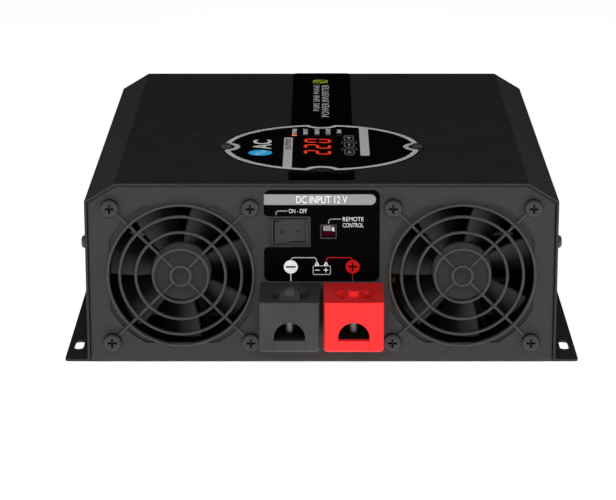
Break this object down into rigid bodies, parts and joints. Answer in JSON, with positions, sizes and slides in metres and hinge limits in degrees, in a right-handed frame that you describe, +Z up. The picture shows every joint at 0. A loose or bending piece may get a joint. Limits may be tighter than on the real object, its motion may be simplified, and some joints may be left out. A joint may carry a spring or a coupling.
{
  "type": "power inverter",
  "caption": "Sheet-metal battery-to-mains power inverter with twin front fans, clamp terminals, rocker switch and a round display badge on top.",
  "frame": {"origin": "centre of the base plate's underside, midway between the cover's front and rear edges", "axes": "+Z up, +Y from the fan and terminal side towards the outlet side, +X to the right seen from the front"},
  "size_m": [0.2668, 0.326, 0.099],
  "materials": {
    "case_coat": "satin black powder coat",
    "panel_coat": "satin black powder coat",
    "black_screw": "black zinc",
    "gloss_film": "gloss printed film",
    "fan_plastic": "moulded, fine satin",
    "guard_wire": "satin black coat on steel wire",
    "bright_steel": "plain turned steel",
    "zinc_steel": "zinc plated",
    "lug_metal": "dull dark plate",
    "bronze": "plain metal",
    "copper": "enamelled or bare copper",
    "boot_grey": "moulded, satin",
    "boot_red": "moulded, satin",
    "switch_plastic": "moulded, satin",
    "jack_plastic": "moulded, satin",
    "badge_grey": "painted grey rim",
    "gloss_face": "gloss black acrylic",
    "module_plastic": "moulded",
    "circuit_board": "solder mask",
    "light_pipe": "clear plastic",
    "key_plastic": "moulded, satin",
    "outlet_plastic": "moulded",
    "sink_aluminium": "extruded",
    "epoxy": "moulded epoxy",
    "ferrite": "pressed ferrite",
    "capacitor_sleeve": "shrink sleeve",
    "fuse_plastic": "tinted plastic"
  },
  "bodies": {
    "case": {"cover": "case_coat", "base_plate": "case_coat", "base_screws": "black_screw", "front_panel": "panel_coat", "rear_panel": "panel_coat", "cover_screws": "black_screw", "front_label": "gloss_film", "top_strip": "gloss_film", "left_fan_frame": "fan_plastic", "left_fan_guard": "guard_wire", "right_fan_frame": "fan_plastic", "right_fan_guard": "guard_wire", "fan_bearings": "bronze", "fan_stators": "copper", "fan_screws": "black_screw", "fan_nuts": "zinc_steel", "negative_boot": "boot_grey", "negative_insert": "boot_grey", "positive_boot": "boot_red", "positive_insert": "boot_red", "terminal_lugs": "lug_metal", "busbars": "copper", "switch_body": "switch_plastic", "switch_tabs": "zinc_steel", "remote_jack": "jack_plastic", "jack_pins": "bronze", "display_bezel": "badge_grey", "display_face": "gloss_face", "digit_module": "module_plastic", "display_board": "circuit_board", "indicator_lights": "light_pipe", "display_screws": "black_screw", "outlet_left": "outlet_plastic", "outlet_right": "outlet_plastic", "outlet_contacts": "bronze", "earth_stud": "zinc_steel", "earth_nut": "zinc_steel", "main_board": "circuit_board", "standoffs": "zinc_steel", "heat_sinks": "sink_aluminium", "power_transistors": "epoxy", "transformer_cores": "ferrite", "transformer_windings": "copper", "capacitors": "capacitor_sleeve", "fuses": "fuse_plastic", "output_choke": "copper"},
    "left_impeller": {"left_fan_impeller": "fan_plastic", "left_fan_shaft": "bright_steel"},
    "right_impeller": {"right_fan_impeller": "fan_plastic", "right_fan_shaft": "bright_steel"},
    "rocker": {"switch_rocker": "switch_plastic"},
    "button_front": {"display_button_front": "key_plastic"},
    "button_middle": {"display_button_middle": "key_plastic"},
    "button_rear": {"display_button_rear": "key_plastic"},
    "negative_tip": {"negative_clamp_tip": "bright_steel"},
    "negative_screw": {"negative_clamp_screw": "bright_steel", "negative_clamp_knob": "boot_grey"},
    "positive_tip": {"positive_clamp_tip": "bright_steel"},
    "positive_screw": {"positive_clamp_screw": "bright_steel", "positive_clamp_knob": "boot_red"}
  },
  "joints": [
    {"name": "left_fan_spin", "type": "hinge", "parent": "case", "child": "left_impeller", "pos_m": [-0.0722, -0.1225, 0.0482], "axis": [0, 1, 0], "continuous": true},
    {"name": "right_fan_spin", "type": "hinge", "parent": "case", "child": "right_impeller", "pos_m": [0.0722, -0.1225, 0.0482], "axis": [0, 1, 0], "continuous": true},
    {"name": "rocker_tilt", "type": "hinge", "parent": "case", "child": "rocker", "pos_m": [-0.0164, -0.136, 0.07155], "axis": [0, 0, 1], "range_deg": [-26, 0]},
    {"name": "front_button_press", "type": "slide", "parent": "case", "child": "button_front", "axis": [0, 0, -1], "range_m": [0, 0.0006], "stiffness_N_per_m": 500},
    {"name": "middle_button_press", "type": "slide", "parent": "case", "child": "button_middle", "axis": [0, 0, -1], "range_m": [0, 0.0006], "stiffness_N_per_m": 500},
    {"name": "rear_button_press", "type": "slide", "parent": "case", "child": "button_rear", "axis": [0, 0, -1], "range_m": [0, 0.0006], "stiffness_N_per_m": 500},
    {"name": "negative_clamp_feed", "type": "slide", "parent": "case", "child": "negative_tip", "axis": [0, 0, 1], "range_m": [-0.0012, 0.0075]},
    {"name": "negative_clamp_turn", "type": "hinge", "parent": "negative_tip", "child": "negative_screw", "pos_m": [-0.0162, -0.158, 0.036], "axis": [0, 0, 1], "range_deg": [-346.1, 2160.5]},
    {"name": "positive_clamp_feed", "type": "slide", "parent": "case", "child": "positive_tip", "axis": [0, 0, 1], "range_m": [-0.0012, 0.0075]},
    {"name": "positive_clamp_turn", "type": "hinge", "parent": "positive_tip", "child": "positive_screw", "pos_m": [0.0162, -0.158, 0.036], "axis": [0, 0, 1], "range_deg": [-346.1, 2160.5]}
  ],
  "couplings": [
    {"joint": "negative_clamp_turn", "follows": "negative_clamp_feed", "rad_per_m": 5026.5},
    {"joint": "positive_clamp_turn", "follows": "positive_clamp_feed", "rad_per_m": 5026.5}
  ]
}
